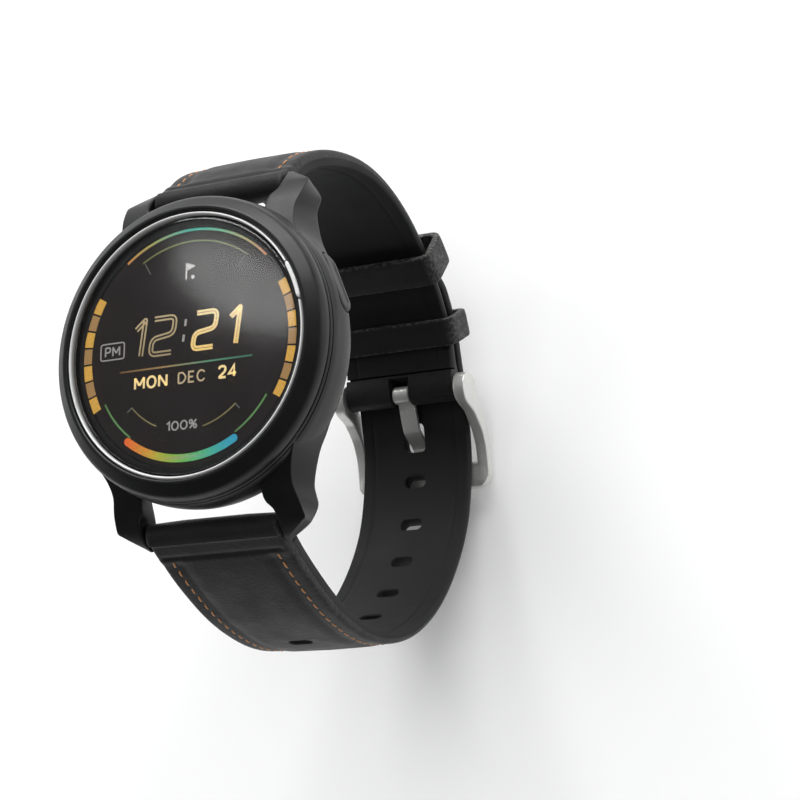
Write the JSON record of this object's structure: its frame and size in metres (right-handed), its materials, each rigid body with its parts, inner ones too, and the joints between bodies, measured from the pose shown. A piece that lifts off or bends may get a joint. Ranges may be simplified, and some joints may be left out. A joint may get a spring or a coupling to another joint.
{
  "type": "golf gps watch",
  "caption": "Round golf GPS wristwatch: glass-faced display, side button, four lugs and a buckled two-piece band of leather with rubber lining, two keepers and quick-release bars.",
  "frame": {"origin": "centre of the back cover's flat outer face, which rests on the wrist", "axes": "+Z out of the dial, +Y towards 12 o'clock, +X towards 3 o'clock and the button side"},
  "size_m": [0.0452, 0.0758, 0.0807],
  "materials": {
    "case_black": "satin black",
    "cover_black": "fine matte texture",
    "steel": "bead blasted and brushed",
    "dark_steel": "plain",
    "glass_black": "polished",
    "display": "lit display",
    "rubber_black": "matte",
    "leather_black": "fine grain, orange-brown stitching",
    "chip_black": "moulded",
    "board_green": "solder resist",
    "ceramic": "unglazed ceramic",
    "flex_amber": "polyimide",
    "foil": "pouch foil",
    "gold": "gold plated"
  },
  "bodies": {
    "case": {"mid_case": "case_black", "bezel": "case_black", "trim_ring": "steel", "trim_accent": "steel", "glass_lens": "glass_black", "lens_gasket": "rubber_black", "display_panel": "display", "display_carrier": "chip_black", "display_flex": "flex_amber", "back_cover": "cover_black", "back_cover_seal": "rubber_black", "back_cover_screw_1": "dark_steel", "back_cover_screw_2": "dark_steel", "back_cover_screw_3": "dark_steel", "back_cover_screw_4": "dark_steel", "charging_contact_1": "gold", "charging_contact_2": "gold", "charging_contact_3": "gold", "charging_contact_4": "gold", "main_board": "board_green", "shield_can": "dark_steel", "processor": "chip_black", "memory_chip": "chip_black", "gps_antenna": "ceramic", "battery": "foil", "vibration_motor": "dark_steel", "button_switch": "chip_black"},
    "button": {"button_cap": "case_black", "button_seal": "rubber_black", "button_clip": "steel"},
    "band": {"strap_short_leather": "leather_black", "strap_short_lining": "rubber_black", "strap_long_leather": "leather_black", "strap_long_lining": "rubber_black", "keeper_fixed": "leather_black", "spring_bar_top": "steel", "spring_bar_top_spring": "steel", "spring_bar_bottom": "steel", "spring_bar_bottom_spring": "steel"},
    "loose_keeper": {"keeper_free": "leather_black"},
    "buckle": {"buckle_frame": "steel", "buckle_pin": "dark_steel"},
    "tongue": {"buckle_tongue": "steel"},
    "top_release": {"spring_bar_top_tip": "steel"},
    "bottom_release": {"spring_bar_bottom_tip": "steel"}
  },
  "joints": [
    {"name": "button_press", "type": "slide", "parent": "case", "child": "button", "axis": [-0.9304, -0.3665, 0], "range_m": [0, 0.0005], "stiffness_N_per_m": 1500},
    {"name": "band_swing", "type": "hinge", "parent": "case", "child": "band", "pos_m": [0, 0.0252, 0.0022], "axis": [1, 0, 0], "range_deg": [0, 70]},
    {"name": "buckle_swing", "type": "hinge", "parent": "band", "child": "buckle", "pos_m": [0, 0.0078, -0.057], "axis": [1, 0, 0], "range_deg": [-1.5, 1.5]},
    {"name": "tongue_swing", "type": "hinge", "parent": "band", "child": "tongue", "pos_m": [0, 0.0078, -0.057], "axis": [1, 0, 0], "range_deg": [-1.5, 1.5]},
    {"name": "keeper_slide", "type": "hinge", "parent": "band", "child": "loose_keeper", "pos_m": [0, -0.00269, -0.02101], "axis": [1, 0, 0], "range_deg": [-5, 5]},
    {"name": "top_bar_release", "type": "slide", "parent": "band", "child": "top_release", "axis": [-1, 0, 0], "range_m": [0, 0.0013], "stiffness_N_per_m": 500},
    {"name": "bottom_bar_release", "type": "slide", "parent": "band", "child": "bottom_release", "axis": [1, 0, 0], "range_m": [0, 0.0013]}
  ],
  "couplings": [
    {"joint": "tongue_swing", "follows": "buckle_swing", "ratio": 1}
  ]
}
